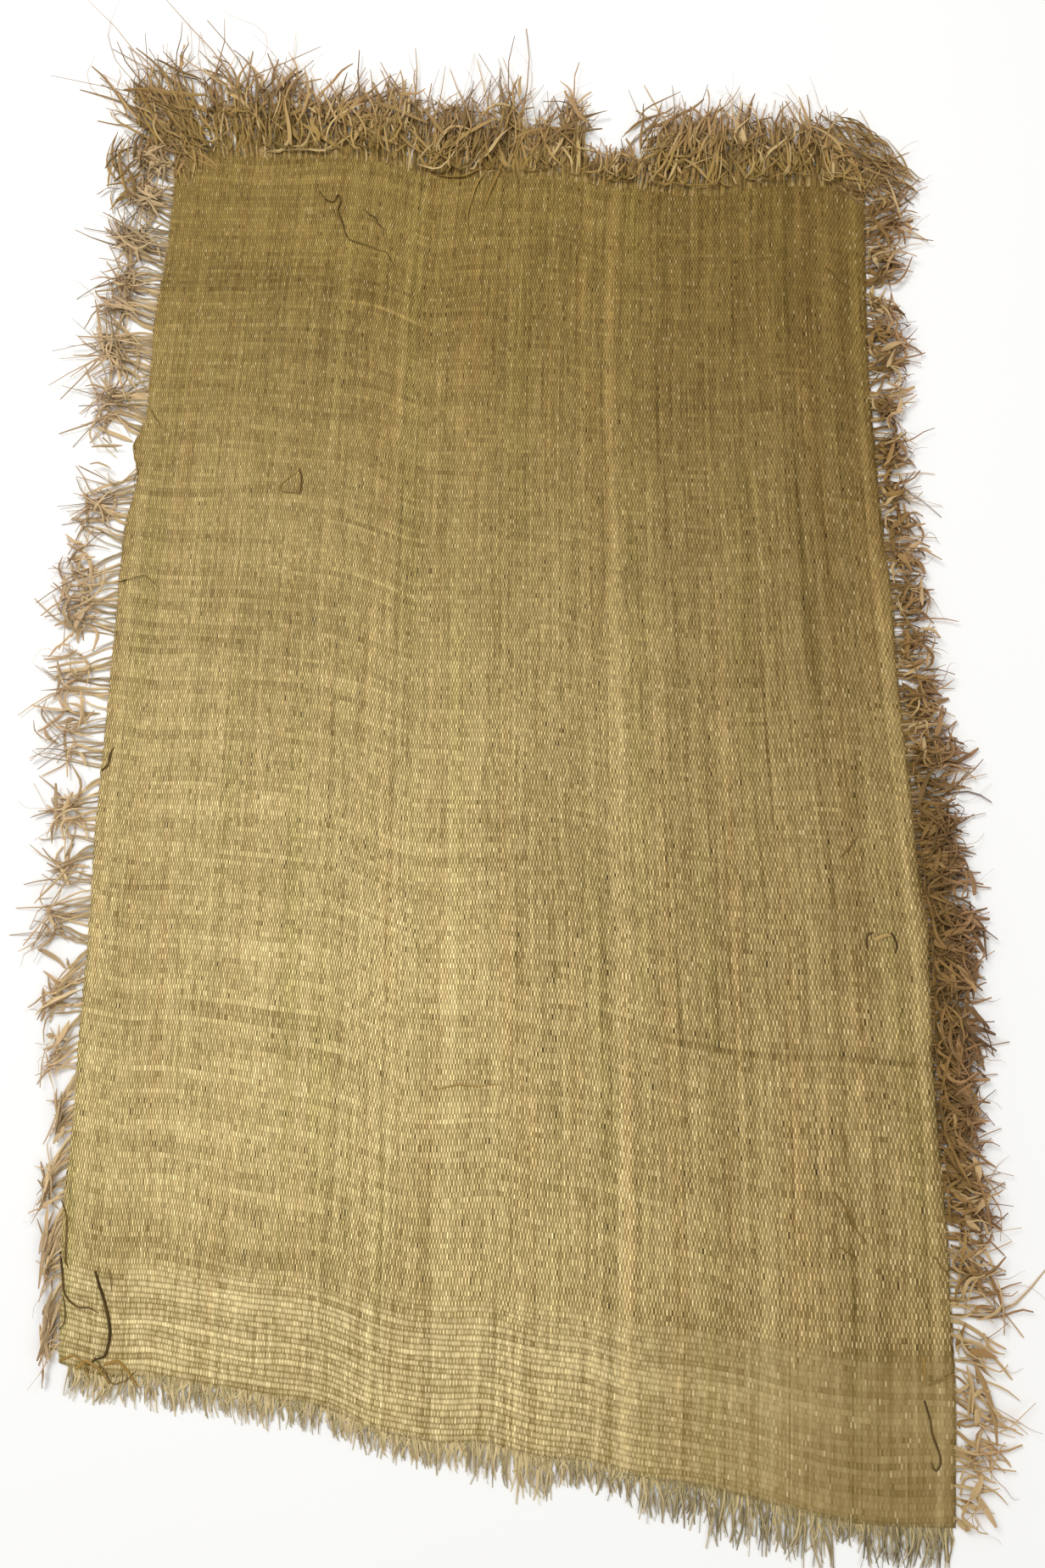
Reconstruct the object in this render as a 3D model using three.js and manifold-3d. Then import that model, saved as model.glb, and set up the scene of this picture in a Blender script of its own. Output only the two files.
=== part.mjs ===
// Hand-woven raffia cloth lying flat, with a free fringe of fibre ends on all four sides.
// Millimetres, X to the right, Y away, Z up. The cloth lies on the plane z = 0.

import * as THREE from "three";
import Module from "manifold-3d";

const wasm = await Module();
wasm.setup();

// Driving dimensions of the woven panel

const PANEL_THICKNESS = 1.5;
const PANEL_COLUMNS = 21;
const PANEL_ROWS = 34;

// Driving dimensions of the fringe

const SEAM_GAP = 0.35;
const BACKING_WIDTH = 4;
const BACKING_HEIGHT = 1;
const ROOT_DEPTH = 1.2;
const WIDEST_LOCK = 3.4;
const NARROWEST_LOCK = 1.3;
const LOCK_FILL = 0.7;
const LOCK_SEGMENTS = 4;
const TIP_WIDTH = 0.8;
const ROOT_HEIGHT = 1.6;
const TIP_HEIGHT = 0.6;
const PINCH = 0.6;
const REACH_VARIATION = 0.12;

// Looks of the dry raffia

const WEAVE_COLOUR = 0xac9664;
const WEAVE_ROUGHNESS = 0.72;
const FRINGE_ROUGHNESS = 0.8;

// Outline of the woven panel: each row is a station along the side and the edge's place there

// Columns: y, x
const LEFT_EDGE = [
  [-387, -262.4], [-349, -265], [-303, -268.4], [-265, -266.8], [-202, -267.5],
  [-131, -267.4], [-82, -268.8], [6, -268.1], [81, -267.8], [146, -266.9],
  [185, -262], [205, -266.5], [221, -261], [258, -258.9], [306, -259],
  [360, -255.2], [412, -253.2], [450, -253.4],
];

// Columns: y, x
const RIGHT_EDGE = [
  [-472.5, 252.4], [-449, 254.5], [-404, 258.6], [-366, 259.6], [-326, 261.2],
  [-263, 261.3], [-202, 262.1], [-161, 264.4], [-130, 265.2], [-103, 263.1],
  [-26, 261], [45, 258.8], [95, 259.3], [137, 257], [206, 256],
  [266, 256], [320, 258], [410, 263.3],
];

// Columns: x, y
const TOP_EDGE = [
  [-253.4, 450], [-203, 449.3], [-132, 449.3], [-100, 445.6], [-75, 437.7],
  [-59, 430.5], [-32, 432], [4, 432], [41, 430.5], [61, 424.7], [92, 421.8],
  [119, 417.5], [170, 418.9], [195, 424.7], [220, 424.7], [250, 417.5], [263.3, 410],
];

// Columns: x, y
const BOTTOM_EDGE = [
  [-262.4, -387], [-234, -394.3], [-211, -394.2], [-182, -398.5], [-148, -404.5],
  [-102, -412.4], [-76, -422.3], [-41, -429], [-11, -429.8], [12, -436], [46, -439],
  [73, -446.5], [111, -452.4], [143, -459], [185, -468.7], [212, -471.5], [252.4, -472.5],
];

// Low swells where the cloth stands off the ground.
// Columns: x, y, half length, half width, turn in degrees, height
const SWELLS = [
  [-140, 320, 105, 60, -10, 4],
  [125, 325, 115, 62, 8, 5],
  [-130, 165, 120, 62, 5, 3],
  [130, 120, 115, 75, -8, 4],
  [185, -125, 72, 60, 20, 5],
  [-140, -190, 110, 65, -6, 4],
  [75, -345, 150, 60, -8, 5],
];

// Fringe tables: a row per tuft of locks. All lengths are millimetres. Columns:
// at       middle of the tuft's roots along its side
// span     length of the side that its roots take up
// knot     distance out from the edge where the locks draw together
// shift    drift along the side at the knot
// reach    distance out from the edge of the tips
// lean     drift along the side at the tips
// fan      spread of the tips along the side
// locks    number of locks in the tuft

const LEFT_TUFTS = [
  [-362, 34, 7, -12, 12, -34, 24, 3],
  [-317, 36, 8, -14, 14, -38, 28, 3],
  [-276, 32, 10, -12, 21, -28, 20, 3],
  [-240, 30, 9, -9, 15, -28, 24, 3],
  [-204, 30, 14, -9, 26, -24, 18, 3],
  [-166, 34, 20, -9, 38, -20, 18, 3],
  [-127, 32, 25, -1, 46, -12, 24, 3],
  [-94, 22, 19, -2, 48, 0, 14, 2],
  [-58, 36, 22, -3, 49, -2, 26, 4],
  [-10, 30, 29, -2, 50, -4, 36, 3],
  [35, 44, 29, 0, 56, -1, 40, 4],
  [92, 54, 29, -2, 56, -6, 38, 5],
  [158, 52, 25, 0, 48, 4, 58, 5],
  [238, 32, 28, 1, 60, 2, 46, 4],
  [278, 28, 30, 6, 76, 24, 24, 3],
  [312, 20, 28, 7, 48, 12, 12, 2],
  [337, 18, 27, 4, 54, 10, 16, 2],
  [366, 28, 28, 7, 64, 26, 18, 3],
  [403, 30, 20, 7, 45, 18, 20, 3],
  [435, 18, 20, 8, 42, 28, 12, 2],
];

const RIGHT_TUFTS = [
  [-462, 14, 12, -3, 24, -8, 10, 2],
  [-434, 32, 18, -5, 40, -9, 34, 4],
  [-401, 16, 25, -10, 52, -20, 8, 2],
  [-376, 18, 17, -5, 43, -10, 10, 2],
  [-354, 10, 26, 0, 55, -12, 6, 1],
  [-328, 26, 18, -5, 46, -8, 14, 3],
  [-288, 38, 20, -3, 45, -10, 32, 4],
  [-250, 26, 18, -2, 38, -6, 22, 3],
  [-220, 22, 18, -3, 34, -10, 10, 3],
  [-192, 18, 22, -9, 43, -20, 8, 2],
  [-160, 28, 20, -2, 43, -8, 26, 3],
  [-128, 24, 22, -3, 41, -9, 12, 3],
  [-98, 22, 20, 0, 44, -1, 12, 3],
  [-67, 26, 20, 0, 44, 4, 20, 3],
  [-42, 6, 26, 3, 57, 0, 2, 1],
  [-20, 22, 28, 3, 45, 8, 12, 2],
  [18, 36, 20, 0, 41, 2, 34, 4],
  [54, 22, 18, 1, 33, 0, 12, 2],
  [85, 26, 17, 1, 37, 0, 22, 3],
  [116, 22, 17, -1, 34, -1, 12, 3],
  [143, 18, 18, 0, 41, 1, 8, 2],
  [166, 16, 16, 2, 43, -3, 10, 2],
  [198, 30, 18, 1, 36, 3, 26, 4],
  [234, 24, 14, -1, 30, -10, 10, 2],
  [275, 38, 20, 2, 41, 3, 40, 4],
  [317, 22, 17, -4, 27, -18, 12, 2],
  [350, 30, 19, 3, 40, 12, 24, 3],
  [380, 18, 23, 5, 46, 16, 8, 2],
  [401, 12, 20, 7, 52, 22, 7, 2],
];

const TOP_TUFTS = [
  [-250, 3, 49, -50, 97, -78, 1, 1],
  [-241, 10, 65, -38, 143, -66, 14, 2],
  [-229, 8, 78, -30, 143, -40, 8, 2],
  [-216, 10, 62, -12, 108, -24, 6, 2],
  [-203, 9, 74, -11, 146, -24, 7, 2],
  [-190, 10, 70, -6, 112, -8, 8, 2],
  [-171, 22, 57, -3, 106, -8, 12, 3],
  [-144, 28, 49, 0, 97, 0, 18, 4],
  [-114, 28, 43, 0, 84, -1, 16, 4],
  [-83, 26, 55, 0, 108, 2, 14, 4],
  [-50, 30, 51, 3, 99, 6, 16, 4],
  [-22, 18, 43, 3, 92, 3, 10, 3],
  [0, 12, 59, 3, 124, 6, 4, 2],
  [23, 24, 36, 5, 78, 11, 10, 3],
  [47, 10, 60, -1, 92, 8, 4, 2],
  [75, 30, 22, 1, 38, 3, 22, 4],
  [112, 30, 50, 9, 100, 24, 22, 4],
  [150, 34, 57, 5, 100, 10, 18, 4],
  [180, 16, 46, 1, 89, 1, 8, 2],
  [200, 18, 43, 1, 89, 1, 8, 3],
  [220, 16, 44, 1, 86, 2, 8, 3],
  [236, 10, 46, 1, 92, 1, 6, 2],
  [249, 10, 29, 4, 62, 16, 6, 2],
  [259, 3, 30, 17, 52, 48, 2, 1],
];

const BOTTOM_TUFTS = [
  [-241, 32, 7, 0, 15, -2, 30, 4],
  [-201, 40, 8, 0, 16, 1, 38, 6],
  [-157, 40, 7, 0, 14, 1, 40, 6],
  [-114, 38, 7, 0, 13, 1, 38, 6],
  [-71, 38, 7, 0, 13, 0, 38, 6],
  [-35, 26, 8, 0, 14, 0, 26, 4],
  [-12, 13, 10, 0, 19, 0, 12, 2],
  [12, 24, 11, 0, 21, 0, 22, 4],
  [49, 44, 8, 0, 14, 0, 44, 7],
  [93, 36, 10, 0, 20, -1, 34, 6],
  [131, 34, 14, 0, 26, -1, 34, 6],
  [165, 28, 12, 0, 24, -1, 28, 5],
  [190, 17, 6, 0, 11, -1, 16, 3],
  [216, 28, 11, 0, 21, -2, 28, 5],
  [242, 17, 11, 0, 22, -2, 17, 3],
];

// Small helpers

// Value of a two-column table between its stations
function lookUp(table, station) {
  const last = table.length - 1;
  if (station <= table[0][0]) {
    return table[0][1];
  }
  for (let row = 0; row < last; row += 1) {
    const [start, startValue] = table[row];
    const [end, endValue] = table[row + 1];
    if (station <= end) {
      return THREE.MathUtils.mapLinear(station, start, end, startValue, endValue);
    }
  }
  return table[last][1];
}

// Repeatable scatter between -1 and 1 for a whole number
function scatter(number) {
  return THREE.MathUtils.seededRandom(number + 1) * 2 - 1;
}

// Closed body through rings of points; each ring runs anticlockwise as seen looking ahead
function loft(rings) {
  const sides = rings[0].length;
  const points = rings.flat();
  const triangles = [];
  for (let ring = 0; ring < rings.length - 1; ring += 1) {
    for (let side = 0; side < sides; side += 1) {
      const a = ring * sides + side;
      const b = ring * sides + (side + 1) % sides;
      triangles.push([a, a + sides, b + sides], [a, b + sides, b]);
    }
  }
  const end = (rings.length - 1) * sides;
  for (let side = 1; side < sides - 1; side += 1) {
    triangles.push([0, side, side + 1], [end, end + side + 1, end + side]);
  }
  return solidOf(points, triangles);
}

function solidOf(points, triangles) {
  return new wasm.Manifold(new wasm.Mesh({
    numProp: 3,
    vertProperties: new Float32Array(points.flatMap((point) => point.toArray())),
    triVerts: new Uint32Array(triangles.flat()),
  }));
}

function meshOf(name, solid, colour, roughness) {
  const { vertProperties, triVerts } = solid.getMesh();
  const geometry = new THREE.BufferGeometry();
  geometry.setAttribute("position", new THREE.BufferAttribute(new Float32Array(vertProperties), 3));
  geometry.setIndex(new THREE.BufferAttribute(new Uint32Array(triVerts), 1));
  geometry.computeVertexNormals();
  const material = new THREE.MeshStandardMaterial({ color: colour, roughness, metalness: 0 });
  const mesh = new THREE.Mesh(geometry, material);
  mesh.name = name;
  return mesh;
}

// Woven panel

// Points along one side of the outline, evenly spaced between its two corners
function sideNodes(table, count, upright) {
  const first = table[0][0];
  const last = table[table.length - 1][0];
  const nodes = [];
  for (let step = 0; step <= count; step += 1) {
    const station = THREE.MathUtils.lerp(first, last, step / count);
    const place = lookUp(table, station);
    nodes.push(upright ? new THREE.Vector2(place, station) : new THREE.Vector2(station, place));
  }
  return nodes;
}

const RIM = {
  left: sideNodes(LEFT_EDGE, PANEL_ROWS, true),
  right: sideNodes(RIGHT_EDGE, PANEL_ROWS, true),
  top: sideNodes(TOP_EDGE, PANEL_COLUMNS, false),
  bottom: sideNodes(BOTTOM_EDGE, PANEL_COLUMNS, false),
};

// Inner points blend the four sides, so that the threads follow the edges
function panelPoint(column, row) {
  const u = column / PANEL_COLUMNS;
  const v = row / PANEL_ROWS;
  const across = RIM.left[row].clone().lerp(RIM.right[row], u);
  const along = RIM.bottom[column].clone().lerp(RIM.top[column], v);
  const lower = RIM.left[0].clone().lerp(RIM.right[0], u);
  const upper = RIM.left[PANEL_ROWS].clone().lerp(RIM.right[PANEL_ROWS], u);
  return across.add(along).sub(lower.lerp(upper, v));
}

// Height of the cloth's underside, which is nought where no swell reaches
function swellHeight(point) {
  let height = 0;
  for (const [x, y, halfLength, halfWidth, turn, rise] of SWELLS) {
    const local = point.clone().sub(new THREE.Vector2(x, y));
    local.rotateAround(new THREE.Vector2(), -THREE.MathUtils.degToRad(turn));
    const distance = (local.x / halfLength) ** 2 + (local.y / halfWidth) ** 2;
    height += rise * Math.max(0, 1 - distance) ** 2;
  }
  return height;
}

function wovenPanel() {
  const wide = PANEL_COLUMNS + 1;
  const layer = wide * (PANEL_ROWS + 1);
  const under = [];
  for (let row = 0; row <= PANEL_ROWS; row += 1) {
    for (let column = 0; column <= PANEL_COLUMNS; column += 1) {
      const point = panelPoint(column, row);
      under.push(new THREE.Vector3(point.x, point.y, swellHeight(point)));
    }
  }
  const over = under.map((point) => point.clone().setZ(point.z + PANEL_THICKNESS));
  const triangles = [];
  for (let row = 0; row < PANEL_ROWS; row += 1) {
    for (let column = 0; column < PANEL_COLUMNS; column += 1) {
      const a = row * wide + column;
      const b = a + 1;
      const c = b + wide;
      const d = a + wide;
      triangles.push([a, c, b], [a, d, c]);
      triangles.push([layer + a, layer + b, layer + c], [layer + a, layer + c, layer + d]);
    }
  }
  const loop = rimLoop(wide);
  loop.forEach((here, index) => {
    const next = loop[(index + 1) % loop.length];
    triangles.push([here, next, layer + next], [here, layer + next, layer + here]);
  });
  const solid = solidOf([...under, ...over], triangles);
  return meshOf("woven_panel", solid, WEAVE_COLOUR, WEAVE_ROUGHNESS);
}

// Numbers of the grid points round the rim, anticlockwise from the lower left corner
function rimLoop(wide) {
  const loop = [];
  for (let column = 0; column < PANEL_COLUMNS; column += 1) {
    loop.push(column);
  }
  for (let row = 0; row < PANEL_ROWS; row += 1) {
    loop.push(row * wide + PANEL_COLUMNS);
  }
  for (let column = PANEL_COLUMNS; column > 0; column -= 1) {
    loop.push(PANEL_ROWS * wide + column);
  }
  for (let row = PANEL_ROWS; row > 0; row -= 1) {
    loop.push(row * wide);
  }
  return loop;
}

// Fringe

// Point at a distance out from a side's edge, level with a station along that side
function beside(side, station, out) {
  const stations = side.nodes.map((node) => (side.upright ? [node.y, node.x] : [node.x, node.y]));
  const place = lookUp(stations, station) + side.outward * out;
  return side.upright ? new THREE.Vector2(place, station) : new THREE.Vector2(station, place);
}

// Narrow strip that the roots of one side's locks are fused into
function backing(side) {
  const rings = side.nodes.map((node) => {
    const station = side.upright ? node.y : node.x;
    const inner = beside(side, station, SEAM_GAP);
    const outer = beside(side, station, SEAM_GAP + BACKING_WIDTH);
    const [left, right] = side.outerOnLeft ? [outer, inner] : [inner, outer];
    return [
      new THREE.Vector3(left.x, left.y, 0),
      new THREE.Vector3(right.x, right.y, 0),
      new THREE.Vector3(right.x, right.y, BACKING_HEIGHT),
      new THREE.Vector3(left.x, left.y, BACKING_HEIGHT),
    ];
  });
  return loft(rings);
}

// One lock: a three-sided body with its flat side down, highest at the knot and tapering to its tip
function lock(path, width, knotHeight) {
  const rings = path.getPoints(LOCK_SEGMENTS).map((centre, index) => {
    const share = index / LOCK_SEGMENTS;
    const ahead = path.getTangent(share);
    const rise = THREE.MathUtils.smoothstep(share, 0, 0.5);
    const taper = THREE.MathUtils.smoothstep(share, 0.5, 1);
    const half = THREE.MathUtils.lerp(width, TIP_WIDTH, taper) / 2;
    const fullHeight = THREE.MathUtils.lerp(ROOT_HEIGHT, knotHeight, rise);
    const height = THREE.MathUtils.lerp(fullHeight, TIP_HEIGHT, taper);
    return [
      new THREE.Vector3(centre.x - ahead.y * half, centre.y + ahead.x * half, 0),
      new THREE.Vector3(centre.x + ahead.y * half, centre.y - ahead.x * half, 0),
      new THREE.Vector3(centre.x, centre.y, height),
    ];
  });
  return loft(rings);
}

// Width of a tuft's locks that leaves them clear of each other where they run closest
function lockWidth(span, reach, lean, fan, locks) {
  if (locks === 1) {
    return WIDEST_LOCK;
  }
  const spacing = Math.min(span * PINCH, fan) / locks;
  const straightness = reach / Math.hypot(reach, lean);
  return THREE.MathUtils.clamp(spacing * straightness * LOCK_FILL, NARROWEST_LOCK, WIDEST_LOCK);
}

// Locks of one tuft, each from its root past its shoulder and through the tuft's knot to its tip
function tuft(side, row, number) {
  const [at, span, knot, shift, reach, lean, fan, locks] = row;
  const width = lockWidth(span, reach, lean, fan, locks);
  const made = [];
  for (let index = 0; index < locks; index += 1) {
    const share = (index + 0.5) / locks - 0.5;
    const rootStation = at + share * span;
    const knotStation = at + shift + share * span * PINCH;
    const shoulderStation = THREE.MathUtils.lerp(rootStation, knotStation, 0.4);
    const shoulderOut = THREE.MathUtils.lerp(SEAM_GAP + BACKING_WIDTH, knot, 0.35);
    const tipStation = at + lean + share * fan;
    const tipOut = reach * (1 + REACH_VARIATION * scatter(number * 10 + index));
    const path = new THREE.SplineCurve([
      beside(side, rootStation, SEAM_GAP + ROOT_DEPTH),
      beside(side, shoulderStation, shoulderOut),
      beside(side, knotStation, knot),
      beside(side, tipStation, tipOut),
    ]);
    made.push(lock(path, width, side.knotHeight));
  }
  return made;
}

function fringe(side) {
  const locks = side.tufts.flatMap((row, number) => tuft(side, row, number));
  const solid = wasm.Manifold.union([backing(side), ...locks]);
  return meshOf(side.name, solid, side.colour, FRINGE_ROUGHNESS);
}

const SIDES = [
  {
    name: "fringe_left",
    nodes: RIM.left,
    upright: true,
    outward: -1,
    outerOnLeft: true,
    knotHeight: 3.2,
    colour: 0xa58769,
    tufts: LEFT_TUFTS,
  },
  {
    name: "fringe_right",
    nodes: RIM.right,
    upright: true,
    outward: 1,
    outerOnLeft: false,
    knotHeight: 3.2,
    colour: 0x826441,
    tufts: RIGHT_TUFTS,
  },
  {
    name: "fringe_top",
    nodes: RIM.top,
    upright: false,
    outward: 1,
    outerOnLeft: true,
    knotHeight: 2.6,
    colour: 0x80683c,
    tufts: TOP_TUFTS,
  },
  {
    name: "fringe_bottom",
    nodes: RIM.bottom,
    upright: false,
    outward: -1,
    outerOnLeft: false,
    knotHeight: 1.8,
    colour: 0xa08a5e,
    tufts: BOTTOM_TUFTS,
  },
];

// Whole cloth, moved so that its bounding box stands centred on the origin

const cloth = new THREE.Group();
cloth.name = "raffia_cloth";
cloth.add(wovenPanel(), ...SIDES.map(fringe));

const middle = new THREE.Box3().setFromObject(cloth).getCenter(new THREE.Vector3());
cloth.children.forEach((mesh) => mesh.geometry.translate(-middle.x, -middle.y, 0));

export default cloth;
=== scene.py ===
"""Looks of a hand-woven raffia cloth that lies flat, with a free fringe of fibre ends on every side."""

import math

import bpy
import numpy as np
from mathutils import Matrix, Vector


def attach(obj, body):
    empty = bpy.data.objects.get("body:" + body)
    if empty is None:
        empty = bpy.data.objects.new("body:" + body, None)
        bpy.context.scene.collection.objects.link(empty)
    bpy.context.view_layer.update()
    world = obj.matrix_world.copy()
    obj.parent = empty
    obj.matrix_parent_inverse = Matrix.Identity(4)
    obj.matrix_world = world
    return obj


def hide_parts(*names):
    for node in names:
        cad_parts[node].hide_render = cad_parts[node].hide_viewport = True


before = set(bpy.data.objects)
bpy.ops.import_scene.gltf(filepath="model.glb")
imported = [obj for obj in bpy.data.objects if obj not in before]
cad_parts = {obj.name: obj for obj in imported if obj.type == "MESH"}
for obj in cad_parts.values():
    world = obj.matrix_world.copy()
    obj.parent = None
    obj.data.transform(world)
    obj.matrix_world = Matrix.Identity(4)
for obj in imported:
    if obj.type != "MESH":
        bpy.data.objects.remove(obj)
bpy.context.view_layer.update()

# Sizes in millimetres, as the solids have them, and the panel's flat area in square metres.
# CLOTH_MIDDLE is the middle of the whole cloth, fringe included, in the frame of the tables below.

MM = 0.001
CLOTH_MIDDLE = np.array([-9.55, 55.85])
SHEET_THICKNESS = 1.5

# Threads of the weave and fineness of the panel's mesh. The warps lie closer at the left than at
# the right, and their numbers begin at SPARE_WARPS.

WARPS = 540
WARP_CROWDING = 0.24
SPARE_WARPS = 20
WEFTS = 270
PANEL_COLUMNS = 170
PANEL_ROWS = 250
EDGE_JITTER = 0.45
RANDOM_SEED = 41

random = np.random.default_rng(RANDOM_SEED)

# Ripples of the sheet. Columns: length across, length along, phase

RIPPLE_HEIGHT = 0.22
RIPPLES = [(31, 7, 0.4), (18, 43, 1.9), (67, 23, 3.1), (12, 90, 5.0), (45, 160, 2.2)]

# Outline of the woven panel. Columns: station along the side, place of the edge there

LEFT_EDGE = [
    (-387, -262.4), (-349, -265), (-303, -268.4), (-265, -266.8), (-202, -267.5), (-131, -267.4),
    (-82, -268.8), (6, -268.1), (81, -267.8), (146, -266.9), (185, -262), (205, -266.5),
    (221, -261), (258, -258.9), (306, -259), (360, -255.2), (412, -253.2), (450, -253.4),
]
RIGHT_EDGE = [
    (-472.5, 252.4), (-449, 254.5), (-404, 258.6), (-366, 259.6), (-326, 261.2), (-263, 261.3),
    (-202, 262.1), (-161, 264.4), (-130, 265.2), (-103, 263.1), (-26, 261), (45, 258.8),
    (95, 259.3), (137, 257), (206, 256), (266, 256), (320, 258), (410, 263.3),
]
TOP_EDGE = [
    (-253.4, 450), (-203, 449.3), (-132, 449.3), (-100, 445.6), (-75, 437.7), (-59, 430.5),
    (-32, 432), (4, 432), (41, 430.5), (61, 424.7), (92, 421.8), (119, 417.5), (170, 418.9),
    (195, 424.7), (220, 424.7), (250, 417.5), (263.3, 410),
]
BOTTOM_EDGE = [
    (-262.4, -387), (-234, -394.3), (-211, -394.2), (-182, -398.5), (-148, -404.5), (-102, -412.4),
    (-76, -422.3), (-41, -429), (-11, -429.8), (12, -436), (46, -439), (73, -446.5), (111, -452.4),
    (143, -459), (185, -468.7), (212, -471.5), (252.4, -472.5),
]

# Streaks along the warps. Columns: share across from the left, half width, strength

STREAKS = [
    (0.035, 0.016, -0.05), (0.133, 0.016, 0.04), (0.195, 0.012, 0.05), (0.24, 0.014, -0.06),
    (0.265, 0.01, 0.05), (0.348, 0.012, 0.08), (0.42, 0.012, -0.05), (0.437, 0.009, 0.06),
    (0.495, 0.016, -0.06), (0.567, 0.01, 0.05), (0.587, 0.008, -0.05), (0.638, 0.015, 0.3),
    (0.663, 0.01, 0.06), (0.705, 0.01, -0.08), (0.742, 0.014, -0.09), (0.775, 0.01, 0.06),
    (0.812, 0.008, 0.08), (0.834, 0.008, 0.08), (0.863, 0.009, 0.1), (0.892, 0.01, -0.13),
    (0.916, 0.01, -0.1), (0.953, 0.011, 0.08), (0.984, 0.01, 0.34),
]

# Bands along the wefts. Columns: share up from the lower end, half width, strength,
# shares across where it starts and stops

BANDS = [
    (0.09, 0.02, -0.12, -0.1, 0.45), (0.1, 0.012, -0.12, 0.55, 1.1),
    (0.129, 0.008, 0.08, -0.1, 0.35), (0.165, 0.02, 0.08, -0.1, 0.4),
    (0.21, 0.018, 0.1, -0.1, 0.55), (0.249, 0.014, -0.1, -0.1, 0.4), (0.272, 0.006, -0.1, 0.3, 0.6),
    (0.284, 0.005, -0.22, 0.6, 1.1), (0.3, 0.008, 0.1, -0.1, 0.4), (0.343, 0.008, -0.1, -0.1, 0.4),
    (0.404, 0.01, 0.1, -0.1, 0.6), (0.46, 0.01, -0.1, -0.1, 0.35), (0.512, 0.012, 0.09, -0.1, 0.4),
    (0.558, 0.012, -0.09, 0.6, 1.1), (0.61, 0.014, 0.1, -0.1, 0.4), (0.668, 0.01, -0.1, -0.1, 0.45),
    (0.676, 0.008, -0.08, 0.6, 1.1), (0.733, 0.012, 0.1, -0.1, 0.5), (0.79, 0.012, -0.1, 0.6, 1.1),
    (0.868, 0.022, -0.13, -0.1, 0.4), (0.908, 0.008, 0.16, -0.1, 0.45),
    (0.93, 0.008, 0.12, -0.1, 0.6), (0.957, 0.008, 0.1, 0.3, 1.1), (0.976, 0.006, 0.12, -0.1, 0.7),
]

# Broad lighter and darker patches. Columns: share across, share up, radius as a share of the
# cloth, strength

PATCHES = [
    (0.42, 0.27, 0.14, 0.16), (0.58, 0.37, 0.13, -0.17), (0.78, 0.36, 0.1, -0.07),
    (0.93, 0.07, 0.15, -0.2), (0.18, 0.55, 0.12, -0.09), (0.15, 0.88, 0.12, -0.08),
    (0.78, 0.66, 0.12, 0.06), (0.95, 0.93, 0.12, 0.1), (0.97, 0.4, 0.1, -0.06),
    (0.03, 0.03, 0.1, -0.08), (0.28, 0.05, 0.15, -0.05), (0.75, 0.33, 0.3, -0.06),
    (0.88, 0.88, 0.25, 0.06), (0.3, 0.22, 0.18, 0.04),
]

# Low swells of the cloth. Columns: x, y, half length, half width, turn in degrees, height

SWELLS = [
    (-140, 320, 105, 60, -10, 4), (125, 325, 115, 62, 8, 5), (-130, 165, 120, 62, 5, 3),
    (130, 120, 115, 75, -8, 4), (185, -125, 72, 60, 20, 5), (-140, -190, 110, 65, -6, 4),
    (75, -345, 150, 60, -8, 5),
]

# Tufts of the fringe. Columns: middle of the roots along the side, span of the roots,
# distance out of the knot, drift along the side there, reach of the tips, drift of the tips,
# spread of the tips

LEFT_TUFTS = [
    (-362, 34, 7, -12, 12, -34, 24), (-317, 36, 8, -14, 14, -38, 28),
    (-276, 32, 10, -12, 21, -28, 20), (-240, 30, 9, -9, 15, -28, 24),
    (-204, 30, 14, -9, 26, -24, 18), (-166, 34, 20, -9, 38, -20, 18),
    (-127, 32, 25, -1, 46, -12, 24), (-94, 22, 19, -2, 48, 0, 14), (-58, 36, 22, -3, 49, -2, 26),
    (-10, 30, 29, -2, 50, -4, 36), (35, 44, 29, 0, 56, -1, 40), (92, 54, 29, -2, 56, -6, 38),
    (158, 52, 25, 0, 48, 4, 58), (238, 32, 28, 1, 60, 2, 46), (278, 28, 30, 6, 76, 24, 24),
    (312, 20, 28, 7, 48, 12, 12), (337, 18, 27, 4, 54, 10, 16), (366, 28, 28, 7, 64, 26, 18),
    (403, 30, 20, 7, 45, 18, 20), (435, 18, 20, 8, 42, 28, 12),
]
RIGHT_TUFTS = [
    (-462, 14, 12, -3, 24, -8, 10), (-434, 32, 18, -5, 40, -9, 34), (-401, 16, 25, -10, 52, -20, 8),
    (-376, 18, 17, -5, 43, -10, 10), (-354, 10, 26, 0, 55, -12, 6), (-328, 26, 18, -5, 46, -8, 14),
    (-288, 38, 20, -3, 45, -10, 32), (-250, 26, 18, -2, 38, -6, 22),
    (-220, 22, 18, -3, 34, -10, 10), (-192, 18, 22, -9, 43, -20, 8), (-160, 28, 20, -2, 43, -8, 26),
    (-128, 24, 22, -3, 41, -9, 12), (-98, 22, 20, 0, 44, -1, 12), (-67, 26, 20, 0, 44, 4, 20),
    (-42, 6, 26, 3, 57, 0, 2), (-20, 22, 28, 3, 45, 8, 12), (18, 36, 20, 0, 41, 2, 34),
    (54, 22, 18, 1, 33, 0, 12), (85, 26, 17, 1, 37, 0, 22), (116, 22, 17, -1, 34, -1, 12),
    (143, 18, 18, 0, 41, 1, 8), (166, 16, 16, 2, 43, -3, 10), (198, 30, 18, 1, 36, 3, 26),
    (234, 24, 14, -1, 30, -10, 10), (275, 38, 20, 2, 41, 3, 40), (317, 22, 17, -4, 27, -18, 12),
    (350, 30, 19, 3, 40, 12, 24), (380, 18, 23, 5, 46, 16, 8), (401, 12, 20, 7, 52, 22, 7),
]
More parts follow.
